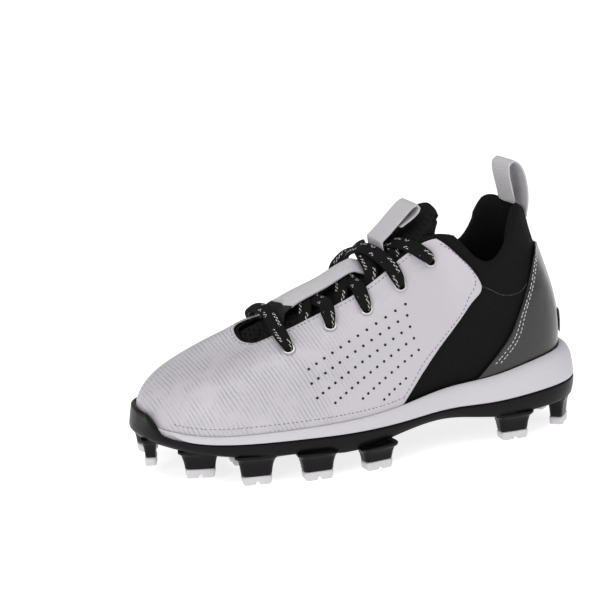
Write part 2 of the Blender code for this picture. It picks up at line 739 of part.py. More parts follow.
def tongue_point(t, row):
    """Top face of the tongue. row 0 is its tucked edge, 1 the throat's edge, 2 its middle line."""
    side = np.sign(t) if t else 1.0
    held = min(abs(t), THROAT_END)
    lap = np.array([0.0 if t == 0 else side * held])
    depth = -(WALL + GAP + 0.8 * MM + 2.6 * MM * float(smooth((held - 6.0) / 2.1)))
    edge = skin(lap % LOOP, 1.0, depth)[0]
    tucked = skin(lap % LOOP, 0.86, depth)[0]
    other = skin((-lap) % LOOP, 1.0, depth)[0]
    middle = (edge + other) / 2
    start = wall(np.array([0.0]), 1.0)[0][0]
    middle[0] = start - 7 * MM - (start - middle[0]) * 0.93
    middle[2] += 1.2 * MM + 0.9 * MM * held / THROAT_END
    middle[2] += TONGUE_CROWN * float(smooth(held / 3.2) * smooth((8.9 - held) / 2.4))
    free = max(0.0, abs(t) - THROAT_END)
    if free:
        lift = np.array([-2.8, 0, 3.4]) * MM * free
        grow = 1 - 0.06 * free
        for point, share in ((edge, 0.86), (tucked, 0.62), (middle, 1.0)):
            point += lift * share
        edge[1] *= grow
        tucked[1] = edge[1] + (tucked[1] - edge[1]) * max(0.08, 1 - 0.5 * free)
        tucked[2] = edge[2] + (tucked[2] - edge[2]) * max(0.3, 1 - 0.35 * free)
        middle[2] -= 0.5 * MM * free
    if row <= 1:
        return tucked + (edge - tucked) * row
    point = edge + (middle - edge) * (row - 1)
    point[2] = edge[2] + (middle[2] - edge[2]) * (1 - (2 - row) ** 1.6)
    return point


def make_tongue(look):
    held = np.linspace(0, THROAT_END, 13)
    free = THROAT_END + np.arange(1, TONGUE_FREE + 1)
    half = np.concatenate([held, free])
    columns = np.concatenate([-half[:0:-1], half])
    rows = (0.0, 0.5, 1.0, 1.2, 1.45, 1.7, 2.0)
    top = np.array([[tongue_point(t, row) for t in columns] for row in rows])
    below = top.copy()
    normals = sheet_normals(top)
    below = top - normals * TONGUE
    return folded_solid("tongue", top, below, look)


def sheet_normals(grid):
    """Unit normals of a grid of points, on the side that faces up."""
    across = np.gradient(grid, axis=1)
    along = np.gradient(grid, axis=0)
    normal = np.cross(across, along)
    size = np.linalg.norm(normal, axis=-1, keepdims=True)
    normal = normal / np.where(size > 0, size, 1)
    return normal * np.where(normal[..., 2:] < 0, -1, 1)


def folded_solid(name, top, below, look):
    """A solid between two grids whose last row is folded shut on itself."""
    rows, count = top.shape[:2]
    mirrored = np.arange(count)[::-1]
    top[-1] = (top[-1] + top[-1][mirrored]) / 2
    below[-1] = (below[-1] + below[-1][mirrored]) / 2
    points = list(top.reshape(-1, 3)) + list(below.reshape(-1, 3))
    shift = rows * count
    faces = []
    for i in range(rows - 1):
        for j in range(count - 1):
            quad = (i * count + j, i * count + j + 1, (i + 1) * count + j + 1, (i + 1) * count + j)
            faces += [quad, tuple(k + shift for k in reversed(quad))]
    for j in range(count - 1):
        faces.append((j, j + shift, j + 1 + shift, j + 1))
    for i in range(rows - 1):
        for j in (0, count - 1):
            a, b = i * count + j, (i + 1) * count + j
            faces.append((a, b, b + shift, a + shift))
    return add_object(name, points, faces, look)


def ribbon(name, path, width, thick, look, sides=None):
    """A flat webbing band along a path in space, its width across the shoe."""
    path = np.asarray(path, float)
    ahead = np.gradient(path, axis=0)
    ahead /= np.linalg.norm(ahead, axis=-1, keepdims=True)
    side = np.array([0.0, 1.0, 0.0]) if sides is None else np.asarray(sides, float)
    side = np.broadcast_to(side, path.shape)
    up = np.cross(ahead, side)
    up /= np.linalg.norm(up, axis=-1, keepdims=True)
    half, deep = width / 2, thick / 2
    section = (
        (-half, -deep * 0.5), (-half, deep * 0.5), (-half + deep, deep), (half - deep, deep),
        (half, deep * 0.5), (half, -deep * 0.5), (half - deep, -deep), (-half + deep, -deep),
    )
    rings = [[p + s * a + u * b for a, b in section] for p, s, u in zip(path, side, up)]
    return ring_solid(name, np.array(rings), look, flat_ends=True)


def tongue_face(t, share):
    """Top face of the tongue at a distance up it, share of the strip's half width to the side."""
    side = 1.0 if share >= 0 else -1.0
    edge = tongue_point(side * t, 1.0)
    row = 2 - min(0.9, abs(share) * STRIP_WIDTH / 2 / abs(edge[1]))
    return tongue_point(side * t, row)


STRIP_COLUMNS = ("station", "height")
STRIP_HEIGHTS = (
    (3.10, 1.30), (3.22, 1.25), (3.34, 1.35), (3.46, 4.40), (3.60, 6.80), (3.90, 7.20), (4.35, 7.90),
    (4.85, 7.20), (5.30, 7.20), (5.72, 7.90), (6.14, 7.20), (6.26, 4.00), (6.36, 1.10), (6.62, 0.95),
)


def over_tongue(station, row, height):
    """A point over the tongue's top face, and the face's direction there.

    station is plus on the lateral side; row 1 is the throat's edge and 2 the tongue's middle line.
    """
    side = 1 if station >= 0 else -1
    along = tongue_point(side * (abs(station) + 0.25), row) - tongue_point(side * (abs(station) - 0.25), row)
    if row > 1.95:
        across = np.array([0.0, 1.0, 0.0])
    else:
        across = tongue_point(station, row + 0.1) - tongue_point(station, row - 0.1)
    up = np.cross(along, across)
    up /= np.linalg.norm(up) * (1 if up[2] > 0 else -1)
    return tongue_point(station, row) + up * height, up


def make_tongue_strip(look):
    """A white strip along the tongue, sewn at both ends; the lower lace crossings run under it."""
    grid, normals = [], []
    for station, height in STRIP_HEIGHTS:
        face = np.array([tongue_face(station, share) for share in np.linspace(-1, 1, 5)])
        out = np.array([over_tongue(station, 2.0, 1.0)[1]] * 5)
        grid.append(face + out * height * MM)
        normals.append(out)
    ahead = np.gradient(np.array(grid), axis=0)
    out = np.cross(ahead, np.gradient(np.array(grid), axis=1))
    out /= np.linalg.norm(out, axis=-1, keepdims=True)
    out *= np.where(out[..., 2:] < 0, -1, 1)
    grid = np.array(grid)
    return sheet_solid("tongue_strip", grid + out * WEBBING / 2, grid - out * WEBBING / 2, look)


# The tongue's loop, once it has risen over the top crossing: along and up, in millimetres.
LOOP_PATH = (
    (-15.8, 108.7), (-20.5, 113.5), (-25.0, 117.8), (-28.5, 121.0), (-30.6, 121.5), (-31.9, 120.0),
    (-31.3, 117.7), (-28.2, 115.3), (-24.8, 113.2), (-21.6, 111.3),
)


def make_tongue_loop(look):
    """A webbing loop at the strip's upper end, over the top lace crossing, open to the sides."""
    path = [over_tongue(t, 2.0, h * MM)[0] for t, h in ((6.72, 0.95), (6.83, 1.1), (6.90, 3.8), (6.98, 6.8))]
    path += [np.array([x * MM, 0.0, z * MM]) for x, z in LOOP_PATH]
    return ribbon("tongue_loop", path, TONGUE_LOOP_WIDTH, WEBBING, look)


def make_pull_loop(look):
    """A webbing loop that straddles the collar at the heel."""
    heel = np.array([float(HEEL_ROW)])
    proud = GAP + 0.2 * MM + WEBBING / 2
    outside = [skin(heel, r, proud)[0] for r in (0.965, 0.98, 0.99)]
    inside = skin(heel, 0.99, -(thickness(heel, 0.99)[0] + proud))[0]
    rim = wall(heel, 1.0)[0]
    back, front = outside[-1][0], inside[0]
    tall = PULL_LOOP_LENGTH - (rim[2] - outside[0][2])
    middle = (back + front) / 2
    plan = (
        (-0.56, 0.16), (-0.60, 0.45), (-0.60, 0.75), (-0.42, 0.94), (0.0, 1.0), (0.42, 0.93),
        (0.64, 0.75), (0.62, 0.45), (0.56, 0.18),
    )
    arch = [
        np.array([middle + PULL_LOOP_OPEN * u + PULL_LOOP_LEAN * v, 0.0, rim[2] + tall * v])
        for u, v in plan
    ]
    path = outside + arch
    count = len(path)
    sides = []
    for i in range(count):
        turn = PULL_LOOP_TURN * math.sin(math.pi * i / (count - 1)) ** 2
        sides.append((-math.sin(turn), math.cos(turn), 0.0))
    return ribbon("pull_loop", path, PULL_LOOP_WIDTH, WEBBING, look, sides)


def ring_solid(name, rings, look, closed=False, flat_ends=False):
    """A solid from a stack of rings; unless closed, each end folds shut or is capped."""
    rings = np.asarray(rings, float)
    rows, count = rings.shape[:2]
    faces = ring_faces(rows, count, closed)
    if not closed and (flat_ends or not folded(rings[0])):
        faces += [tuple(range(count)), tuple((rows - 1) * count + j for j in range(count))]
    return add_object(name, rings.reshape(-1, 3), faces, look)


def folded(ring):
    """Whether a ring lies shut on itself, along a middle line."""
    other = ring[(-np.arange(len(ring))) % len(ring)]
    return bool(np.abs(ring - other).max() < 1e-6)


def through(points, count):
    """A smooth curve through a few points, evenly sampled between them."""
    points = np.array([2 * points[0] - points[1], *points, 2 * points[-1] - points[-2]])
    curve = []
    for i in range(1, len(points) - 2):
        a, b, c, d = points[i - 1:i + 3]
        for u in np.arange(count) / count:
            curve.append(0.5 * (
                2 * b + (c - a) * u + (2 * a - 5 * b + 4 * c - d) * u**2 + (3 * b - a - 3 * c + d) * u**3
            ))
    return np.array(curve + [points[-2]])


def lace(name, path, ups, look):
    """A flat oval lace along a path, its flat side turned to face ups."""
    ahead = np.gradient(path, axis=0)
    ahead /= np.linalg.norm(ahead, axis=-1, keepdims=True)
    side = np.cross(ups, ahead)
    side /= np.linalg.norm(side, axis=-1, keepdims=True)
    over = np.cross(ahead, side)
    rings = []
    for point, s, o in zip(path, side, over):
        rings.append([
            point + s * math.cos(a) * LACE_WIDTH / 2 + o * math.sin(a) * LACE_THICKNESS / 2
            for a in np.linspace(0, 2 * math.pi, 6, endpoint=False)
        ])
    return ring_solid(name, np.array(rings), look, flat_ends=True)


LACE_OVER_PANEL = PANEL_GAP + PANEL + 0.9 * MM + LACE_THICKNESS / 2


def over_flap(station, side):
    """Lace points from the throat's edge out to an eyelet, and the skin's directions."""
    points, ups = [], []
    for drop in (0.8 * MM, 0.55 * EYELET_DROP, EYELET_DROP - 1 * MM, EYELET_DROP + 0.8 * MM):
        t, r = eyelet_spot(station, side, drop)
        rise = LACE_OVER_PANEL + EYELET_RISE
        if drop < 1 * MM:
            rise += max(0.0, station - 7) * 1.8 * MM - 0.2 * MM
        points.append(skin(np.array([t]), r, rise)[0])
        ups.append(wall_normal(np.array([t]), r)[0])
    return points, ups


# Each crossing goes up from a pair of eyelets to the next: the station where its ends come out from
# under the flaps and how high, the station of the crossing, and its height over the tongue there and
# beside it, in millimetres.
BAR_STATION = 2.1
CROSSING_COLUMNS = ("start", "low", "middle", "height", "beside")
CROSSINGS = (
    (4.30, 2.2, 4.38, 2.2, 2.4),
    (5.50, 2.4, 5.66, 2.4, 2.5),
    (6.52, 3.6, 6.68, 7.4, 8.6),
    (7.27, 2.4, 7.28, 2.4, 3.8),
)


def make_laces(look):
    """A straight bar at the lowest eyelets, then one crossing up to each next pair."""
    first = EYELET_STATIONS[0]
    left, left_ups = over_flap(first, 1)
    right, right_ups = over_flap(first, -1)
    rise = LACE_THICKNESS / 2 + 3.6 * MM
    bar = [over_tongue(s, row, rise) for s, row in ((2.3, 1.4), (BAR_STATION, 2.0), (-2.2, 1.35))]
    points = left[::-1] + [point for point, up in bar] + right
    path = through(points, 2)
    ups = through(left_ups[::-1] + [up for point, up in bar] + right_ups, 2)
    lace("lace_bar", path, ups, look)
    for i, (start, low, cross, height, beside) in enumerate(CROSSINGS, 1):
        parts = []
        above = EYELET_STATIONS[i]
        for side, extra in ((1, 0.0), (-1, LACE_THICKNESS * 0.75)):
            begin = over_tongue(-side * start, 1.22, low * MM + 0.4 * extra)
            middle = over_tongue(side * cross, 2.0, height * MM + extra)
            shoulder = over_tongue(side * (cross + above) / 2, 1.4, beside * MM + 0.4 * extra)
            flap, flap_ups = over_flap(above, side)
            path = through([begin[0], middle[0], shoulder[0]] + flap, 2)
            ups = through([begin[1], middle[1], shoulder[1]] + flap_ups, 2)
            parts.append(lace("lace_part", path, ups, look))
        crossing = parts[0]
        join(crossing, parts[1])
        crossing.name = "lace_cross_%d" % i
        crossing.data.name = crossing.name


def main():
    for old in list(bpy.data.objects):
        bpy.data.objects.remove(old)
    black_plate = material("outsole_black", (0.012, 0.012, 0.014), 0.28)
    white_foam = material("midsole_white", (0.72, 0.71, 0.73), 0.55)
    tip_white = material("stud_tip_white", (0.62, 0.62, 0.63), 0.4)
    black_knit = material("upper_black", (0.015, 0.015, 0.016), 0.85)
    white_skin = material("panel_white", (0.72, 0.70, 0.74), 0.45)
    patent = material("counter_black", (0.02, 0.02, 0.022), 0.18)
    grey_lining = material("lining_grey", (0.10, 0.10, 0.11), 0.9)
    webbing = material("webbing_white", (0.60, 0.60, 0.61), 0.8)
    lace_black = material("lace_black", (0.012, 0.012, 0.012), 0.8)
    silver = material("eyelet_silver", (0.75, 0.75, 0.76), 0.35, 1.0)

    make_outsole(black_plate)
    for name, along, across, turn, size in STUDS:
        foot, heading, bottom = stud_place(along, across, turn)
        make_tip("tip_" + name, foot, heading, size, tip_white)
    make_midsole(white_foam)
    make_insole(grey_lining)
    upper = make_upper(black_knit)
    panel = make_vamp_panel(white_skin)
    make_heel_counter(patent)
    make_heel_patch(white_foam)
    make_tongue(black_knit)
    make_tongue_strip(webbing)
    make_tongue_loop(webbing)
    make_pull_loop(webbing)

    for i, station in enumerate(EYELET_STATIONS):
        for side, word in ((1, "lateral"), (-1, "medial")):
            t, r = eyelet_spot(station, side)
            centre = Vector(wall(np.array([t]), r)[0])
            normal = Vector(wall_normal(np.array([t]), r)[0])
            for piece in (upper, panel):
                cut_hole(piece, centre, normal, EYELET_HOLE)
            make_eyelet("eyelet_%s_%d" % (word, i + 1), t, r, silver)
    make_laces(lace_black)


main()
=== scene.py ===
# Moulded baseball cleat, left foot: knit upper, coated forefoot panel, studded plate.
# The toe points along +X, the outer side is +Y, and the studs stand on z = 0.
import math

import bpy
import numpy as np
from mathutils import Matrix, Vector
from mathutils.bvhtree import BVHTree


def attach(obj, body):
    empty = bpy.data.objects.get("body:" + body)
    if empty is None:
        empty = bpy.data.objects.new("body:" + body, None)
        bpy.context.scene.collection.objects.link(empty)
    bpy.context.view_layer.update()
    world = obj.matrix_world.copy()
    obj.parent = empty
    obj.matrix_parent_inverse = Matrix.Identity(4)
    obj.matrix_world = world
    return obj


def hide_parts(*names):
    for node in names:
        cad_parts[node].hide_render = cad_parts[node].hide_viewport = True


MM = 0.001

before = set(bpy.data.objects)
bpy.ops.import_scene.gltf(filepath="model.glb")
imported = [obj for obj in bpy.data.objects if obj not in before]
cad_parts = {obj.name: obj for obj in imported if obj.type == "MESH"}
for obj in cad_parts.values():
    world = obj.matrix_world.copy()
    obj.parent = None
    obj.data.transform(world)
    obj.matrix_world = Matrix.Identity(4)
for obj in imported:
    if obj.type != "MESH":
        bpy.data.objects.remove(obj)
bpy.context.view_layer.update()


# Studio
# A pale floor under two soft lamps, with the camera to the left and above, on the outer side.
# The lamps are large and white, so the patent heel and the toe carry broad highlights.
FLOOR_SIZE = 300.0
AIR_STRENGTH = 0.42
LAMPS = (
    ("lamp_over", (0.15, 0.25, 0.95), (0.0, 0.0, 0.05), (0.9, 0.6), 3.4),
    ("lamp_toe", (0.85, 0.75, 0.55), (0.03, 0.0, 0.05), (0.5, 0.7), 3.8),
    ("lamp_heel", (-0.8, 0.6, 0.5), (-0.05, 0.0, 0.05), (0.4, 0.7), 1.1),
)
CAMERA_PLACE = Vector((0.30185, 0.82044, 0.29822))
CAMERA_TARGET = Vector((0.02686, -0.00736, 0.07656))
CAMERA_ROLL = -2.633
CAMERA_LENS = 108.34


class Wire:
    """One value in a material's nodes, written into sums like a number."""

    def __init__(self, look, socket):
        self.look = look
        self.socket = socket

    def node(self, kind, settings=(), values=(), out=0):
        made = self.look.node_tree.nodes.new(kind)
        for name, value in dict(settings).items():
            setattr(made, name, value)
        for name, value in dict(values).items():
            if isinstance(value, Wire):
                self.look.node_tree.links.new(value.socket, made.inputs[name])
            else:
                made.inputs[name].default_value = value
        return Wire(self.look, made.outputs[out])

    def sum(self, operation, first, second=0.0):
        return self.node("ShaderNodeMath", {"operation": operation}, {0: first, 1: second})

    def __add__(self, other):
        return self.sum("ADD", self, other)

    def __radd__(self, other):
        return self.sum("ADD", other, self)

    def __sub__(self, other):
        return self.sum("SUBTRACT", self, other)

    def __rsub__(self, other):
        return self.sum("SUBTRACT", other, self)

    def __mul__(self, other):
        return self.sum("MULTIPLY", self, other)

    def __rmul__(self, other):
        return self.sum("MULTIPLY", other, self)

    def __truediv__(self, other):
        return self.sum("DIVIDE", self, other)

    def __abs__(self):
        return self.sum("ABSOLUTE", self)

    def __lt__(self, other):
        return self.sum("LESS_THAN", self, other)

    def __gt__(self, other):
        return self.sum("GREATER_THAN", self, other)

    def wave(self):
        return self.sum("SINE", self * math.tau) * 0.5 + 0.5

    def fraction(self):
        return self.sum("FRACT", self)

    def ease(self, low, high):
        settings = {"interpolation_type": "SMOOTHSTEP"}
        return self.node("ShaderNodeMapRange", settings, {"Value": self, "From Min": low, "From Max": high})

    def part(self, name):
        split = self.node("ShaderNodeSeparateXYZ", {}, {0: self})
        return Wire(self.look, split.socket.node.outputs[name])

    def between(self, first, second):
        # A Mix node's colours are its sockets 6 and 7, and its mixed colour is output 2.
        values = {0: self, 6: first, 7: second}
        return self.node("ShaderNodeMix", {"data_type": "RGBA"}, values, 2)

    def noise(self, size, detail=3.0):
        return self.node("ShaderNodeTexNoise", {}, {"Vector": self, "Scale": 1 / size, "Detail": detail})

    def set(self, name):
        shader = self.look.node_tree.nodes["Principled BSDF"]
        self.look.node_tree.links.new(self.socket, shader.inputs[name])

    def relief(self, depth):
        self.node("ShaderNodeBump", {}, {"Height": self, "Distance": depth}).set("Normal")


def finish(name, colour, roughness, **more):
    """A plain finish of one colour, and the wire of the piece's own coordinates."""
    look = bpy.data.materials.new(name)
    look.use_nodes = True
    shader = look.node_tree.nodes["Principled BSDF"]
    shader.inputs["Base Color"].default_value = (*colour, 1)
    shader.inputs["Roughness"].default_value = roughness
    for key, value in more.items():
        shader.inputs[key.replace("_", " ")].default_value = value
    place = look.node_tree.nodes.new("ShaderNodeTexCoord")
    return look, Wire(look, place.outputs["Object"])


def lamp(name, place, target, size, power):
    """A soft oblong lamp turned to its target."""
    bpy.ops.object.light_add(type="AREA", location=place)
    light = bpy.context.object
    light.name = name
    light.data.shape = "RECTANGLE"
    light.data.size = size[0]
    light.data.size_y = size[1]
    light.data.energy = power
    light.rotation_euler = (Vector(target) - Vector(place)).to_track_quat("-Z", "Y").to_euler()


bpy.ops.mesh.primitive_plane_add(size=FLOOR_SIZE, location=(0, 0, 0))
floor = bpy.context.object
floor.name = "studio_floor"
paper = finish("paper_floor", (0.60, 0.60, 0.60), 0.9, Emission_Color=(1, 1, 1, 1), Emission_Strength=0.8)[0]
floor.data.materials.append(paper)

for row in LAMPS:
    lamp(*row)

air = bpy.data.worlds.new("studio_air")
air.use_nodes = True
air.node_tree.nodes["Background"].inputs["Color"].default_value = (1.0, 1.0, 1.0, 1)
air.node_tree.nodes["Background"].inputs["Strength"].default_value = AIR_STRENGTH
bpy.context.scene.world = air
bpy.context.scene.view_settings.view_transform = "Standard"

bpy.ops.object.camera_add(location=CAMERA_PLACE)
camera = bpy.context.object
camera.name = "photo_camera"
level = (CAMERA_TARGET - CAMERA_PLACE).to_track_quat("-Z", "Y").to_matrix().to_4x4()
level.translation = CAMERA_PLACE
camera.matrix_world = level
camera.rotation_euler.rotate_axis("Z", math.radians(CAMERA_ROLL))
camera.data.lens = CAMERA_LENS
camera.data.sensor_width = 36.0
camera.data.clip_start = 0.01
camera.data.clip_end = 400.0
bpy.context.scene.camera = camera


# Upper
# The bootie of the shoe: a black knit shell with a foam collar, pulled over the last and
# glued down to the sole. The collar swells above a seam that runs round the ankle.
KNIT = (0.0075, 0.0075, 0.0082)
# Each pull has its middle, its reach and its shift. Each rounding has its middle, reach and times.
COLLAR_PULLS = (
    ((-64.0, 26.0, 92.0), 7.0, (-1.5, 0.0, -3.2)),
    ((-67.5, 24.0, 100.5), 8.0, (-3.8, 0.0, -0.5)),
    ((-80.0, 10.0, 116.5), 13.0, (0.3, 0.0, 3.0)),
)
COLLAR_ROUNDS = (((-64.0, 26.0, 90.0), 15.0, 30), ((-82.0, 10.0, 117.0), 14.0, 4))
COLLAR_SEAM = (
    (-50.5, 29.0, 86.0), (-56.9, 28.6, 80.9), (-61.9, 28.4, 78.6), (-67.7, 27.8, 75.2), (-75.0, 26.7, 74.0),
    (-80.3, 25.7, 75.2), (-84.0, 24.6, 78.8),
)
ANKLE_FOLDS = (
    ((-50.0, 29.0, 73.0), (-56.0, 29.0, 62.0), (-66.0, 28.0, 54.0)),
    ((-60.0, 29.0, 71.0), (-66.0, 28.5, 61.0), (-73.0, 27.5, 57.0)),
)


def pick(piece):
    """Make one piece the only one that the next operator acts on."""
    bpy.ops.object.select_all(action="DESELECT")
    piece.select_set(True)
    bpy.context.view_layer.objects.active = piece


def take(node, name, crease=0.0, angle=40, levels=2):
    """A copy of a moulded or cut form, its triangles merged and its skin rounded."""
    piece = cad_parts[node].copy()
    piece.data = piece.data.copy()
    piece.name = name
    piece.data.name = name
    piece.parent = None
    for key in list(piece.keys()):
        del piece[key]
    bpy.context.scene.collection.objects.link(piece)
    pick(piece)
    bpy.ops.object.mode_set(mode="EDIT")
    bpy.ops.mesh.select_all(action="SELECT")
    bpy.ops.mesh.customdata_custom_splitnormals_clear()
    bpy.ops.mesh.remove_doubles(threshold=0.00001)
    bpy.ops.mesh.tris_convert_to_quads()
    if crease:
        bpy.ops.mesh.select_all(action="DESELECT")
        bpy.ops.mesh.select_mode(type="EDGE")
        bpy.ops.mesh.edges_select_sharp(sharpness=math.radians(angle))
        bpy.ops.transform.edge_crease(value=crease)
    bpy.ops.object.mode_set(mode="OBJECT")
    if levels:
        apply(piece, "SUBSURF", levels=levels, render_levels=levels)
    bpy.ops.object.shade_smooth()
    return piece


def apply(piece, kind, **settings):
    """Add one modifier to a piece and apply it."""
    modifier = piece.modifiers.new(kind.title(), kind)
    for name, value in settings.items():
        setattr(modifier, name, value)
    pick(piece)
    bpy.ops.object.modifier_apply(modifier=modifier.name)


def wear(piece, look, slot, *nodes):
    """Give a piece its finish and its place in the shoe."""
    piece.data.materials.clear()
    piece.data.materials.append(look)
    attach(piece, "root")
    if nodes:
        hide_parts(*nodes)


def curve(points, step=0.6):
    """A smooth line in metres through points in millimetres, sampled about every step."""
    points = np.array(points, float)
    points = np.array([2 * points[0] - points[1], *points, 2 * points[-1] - points[-2]])
    line = []
    for a, b, c, d in zip(points, points[1:], points[2:], points[3:]):
        count = max(2, int(np.linalg.norm(c[:3] - b[:3]) / step))
        for u in np.arange(count) / count:
            line.append(0.5 * (
                2 * b + (c - a) * u + (2 * a - 5 * b + 4 * c - d) * u**2 + (3 * b - a - 3 * c + d) * u**3
            ))
    line = np.array(line + [points[-2]])
    line[:, :3] *= MM
    return line


def mirrored(points):
    """The same points on the inner side."""
    return [(x, -y, z) for x, y, z in points]


def press(piece, lines, width, depth, sides=(1,)):
    """Soft troughs along lines on a piece's outer skin, fading out at both ends."""
    mesh = piece.data
    spots = np.empty(len(mesh.vertices) * 3)
    mesh.vertices.foreach_get("co", spots)
    spots = spots.reshape(-1, 3)
    facing = np.empty(len(mesh.vertices) * 3)
    mesh.vertex_normals.foreach_get("vector", facing)
    facing = facing.reshape(-1, 3)
    push = np.zeros(len(spots))
    for line in lines:
        for side in sides:
            path = curve(line, 1.5) * (1, side, 1)
            near = np.linalg.norm(spots[:, None] - path[None], axis=-1)
            share = near.argmin(axis=1) / (len(path) - 1)
            taper = np.sin(np.pi * np.clip(share, 0.02, 0.98)) ** 0.5
            dent = np.exp(-((near.min(axis=1) / (width * MM)) ** 2)) * taper
            middle = path[len(path) // 2]
            outer = facing @ np.array((0.0, np.sign(middle[1]) or 1.0, 0.5)) > 0.05
            push = np.maximum(push, dent * outer)
    spots -= facing * (push * depth * MM)[:, None]
    mesh.vertices.foreach_set("co", spots.ravel())
    mesh.update()


def drag(piece, middle, reach, shift, sides=(1,)):
    """Pull a soft part of a piece, most at the middle and fading out over the reach."""
    mesh = piece.data
    spots = np.empty(len(mesh.vertices) * 3)
    mesh.vertices.foreach_get("co", spots)
    spots = spots.reshape(-1, 3)
    pull = np.zeros((len(spots), 3))
    for side in sides:
        heart = np.array(middle) * (1, side, 1) * MM
        share = np.exp(-((np.linalg.norm(spots - heart, axis=1) / (reach * MM)) ** 2))
        full = share[:, None] * np.array(shift) * (1, side, 1) * MM
        pull = np.where(abs(full) > abs(pull), full, pull)
    mesh.vertices.foreach_set("co", (spots + pull).ravel())
    mesh.update()


def soften(piece, middle, reach, times, sides=(1,)):
    """Round the part of a piece within reach of the middle, as cloth is rounded by foam."""
    for side in sides:
        heart = Vector(middle) * MM
        heart.y *= side
        pick(piece)
        bpy.ops.object.mode_set(mode="EDIT")
        bpy.ops.mesh.select_mode(type="VERT")
        bpy.ops.mesh.select_all(action="DESELECT")
        bpy.ops.object.mode_set(mode="OBJECT")
        for corner in piece.data.vertices:
            corner.select = (corner.co - heart).length < reach * MM
        bpy.ops.object.mode_set(mode="EDIT")
        bpy.ops.mesh.vertices_smooth(factor=0.5, repeat=times)
        bpy.ops.object.mode_set(mode="OBJECT")


upper = take("upper", "knit_upper", 0.6)
for middle, reach, shift in COLLAR_PULLS:
    drag(upper, middle, reach, shift, (1, -1))
for middle, reach, times in COLLAR_ROUNDS:
    soften(upper, middle, reach, times, (1, -1))
press(upper, (COLLAR_SEAM,), 1.5, 1.1, (1, -1))
press(upper, ANKLE_FOLDS, 3.5, 0.6, (1, -1))

knit, spot = finish("black_knit", KNIT, 0.82, Specular_IOR_Level=0.08)
loops = (spot.part("X") / 0.0011).wave() * (spot.part("Z") / 0.0014 + spot.part("X") / 0.0022).wave()
(loops + spot.noise(0.0009) * 0.5).relief(0.00018)
(spot.noise(0.03) * 0.16 + 0.74).set("Roughness")
wear(upper, knit, "upper_black", "upper")


# Insole
# The footbed that lies in the shoe: grey foam under a brushed cloth, cut to the last.
insole = take("insole", "foam_insole", 0.5)
footbed, spot = finish("grey_footbed", (0.10, 0.10, 0.105), 0.9)
(spot.noise(0.0006) + spot.noise(0.004)).relief(0.0002)
wear(insole, footbed, "lining_grey", "insole")


# Forefoot panel
# A pearly coated sheet laid round the toe and up to the lace rows, and sewn at its edges. It
# is punched with rows of holes on both sides and embossed with fine slanting lines at the toe.
PEARL = (0.53, 0.505, 0.545)
THREAD = (0.17, 0.16, 0.18)
THROAT_ROW = (
    (-27.1, -20.5, 102.9), (-16.0, -19.5, 94.3), (0.4, -18.7, 84.2), (17.4, -18.0, 77.0), (35.3, -17.1, 71.3),
    (49.2, -15.6, 69.0), (57.9, -13.3, 68.1), (63.1, -9.4, 66.4), (63.8, -4.7, 63.6), (62.4, 0.2, 61.3),
    (59.3, 5.2, 61.1), (56.0, 9.0, 62.1), (51.9, 12.3, 64.1), (45.7, 15.0, 66.6), (34.5, 16.9, 70.7),
    (17.2, 18.0, 77.0), (0.5, 18.7, 84.3), (-14.9, 19.9, 94.6), (-26.7, 21.2, 103.3),
)
REAR_ROW = (
    (-34.9, 24.1, 104.8), (-41.0, 26.8, 100.8), (-50.8, 28.7, 90.0), (-52.8, 28.9, 84.4), (-51.8, 28.8, 80.7),
    (-49.0, 28.5, 76.8), (-45.5, 28.0, 69.3), (-35.1, 30.2, 59.3), (-22.7, 33.1, 48.4), (-14.6, 34.6, 37.6),
    (-9.7, 35.4, 31.8),
)
FEATHER_ROW = (
    (-11.7, 35.0, 32.2), (5.0, 38.5, 30.4), (25.3, 41.5, 29.9), (46.5, 41.1, 29.7), (67.0, 37.7, 29.3),
    (83.1, 32.9, 28.9), (95.2, 26.4, 29.6), (102.9, 19.8, 30.8),
)
FLEX_CREASES = (
    ((56.0, 9.0, 58.0), (52.0, 22.0, 55.5), (49.0, 33.0, 46.0)),
    ((46.0, 17.0, 62.0), (42.0, 27.0, 57.0), (40.0, 35.0, 47.5)),
    ((-22.0, 27.0, 88.0), (-32.0, 28.0, 78.0), (-38.0, 29.0, 68.0)),
)
EYELET_HOLLOWS = (
    ((36.0, 18.0, 67.0), (32.7, 22.8, 65.6), (31.0, 26.5, 63.0)),
    ((16.5, 19.0, 76.0), (13.1, 24.2, 72.8), (12.0, 27.5, 70.0)),
    ((-3.0, 20.0, 84.5), (-5.3, 24.6, 80.9), (-7.0, 28.0, 77.0)),
    ((-18.5, 21.5, 95.0), (-22.6, 24.2, 91.0), (-24.5, 27.0, 86.0)),
)
EMBOSS_PITCH = 0.0021
EMBOSS_LEAN = 0.47
# The holes lie in six rows. A hole's place bends a little with its column and its row.
HOLE_STARTS = (0, 1, 2, 3, 4, 8)
HOLE_COLUMNS = 16
HOLE_FRONT = 39.6
HOLE_FLOOR = 33.4
HOLE_FLOOR_RISE = 0.105
HOLE_SIDES = 12
HOLE_RIMS = ((0.72, 0.02), (0.60, 0.09), (0.48, 0.03))
HOLE_CENTRE = np.array((-15.21, 28.23, 77.11))
HOLE_ALONG = np.array((5.549, 0.45, -2.503))
HOLE_ACROSS = np.array((-5.047, 2.419, -2.15))
HOLE_TWIST = np.array((-0.203, 0.085, 0.027))
HOLE_BEND_ALONG = np.array((-0.068, -0.005, 0.021))
HOLE_BEND_ACROSS = np.array((-0.121, -0.478, -0.282))


def skin_of(piece):
    """The search tree of a piece's faces."""
    corners = [vertex.co.copy() for vertex in piece.data.vertices]
    faces = [tuple(face.vertices) for face in piece.data.polygons]
    return BVHTree.FromPolygons(corners, faces)


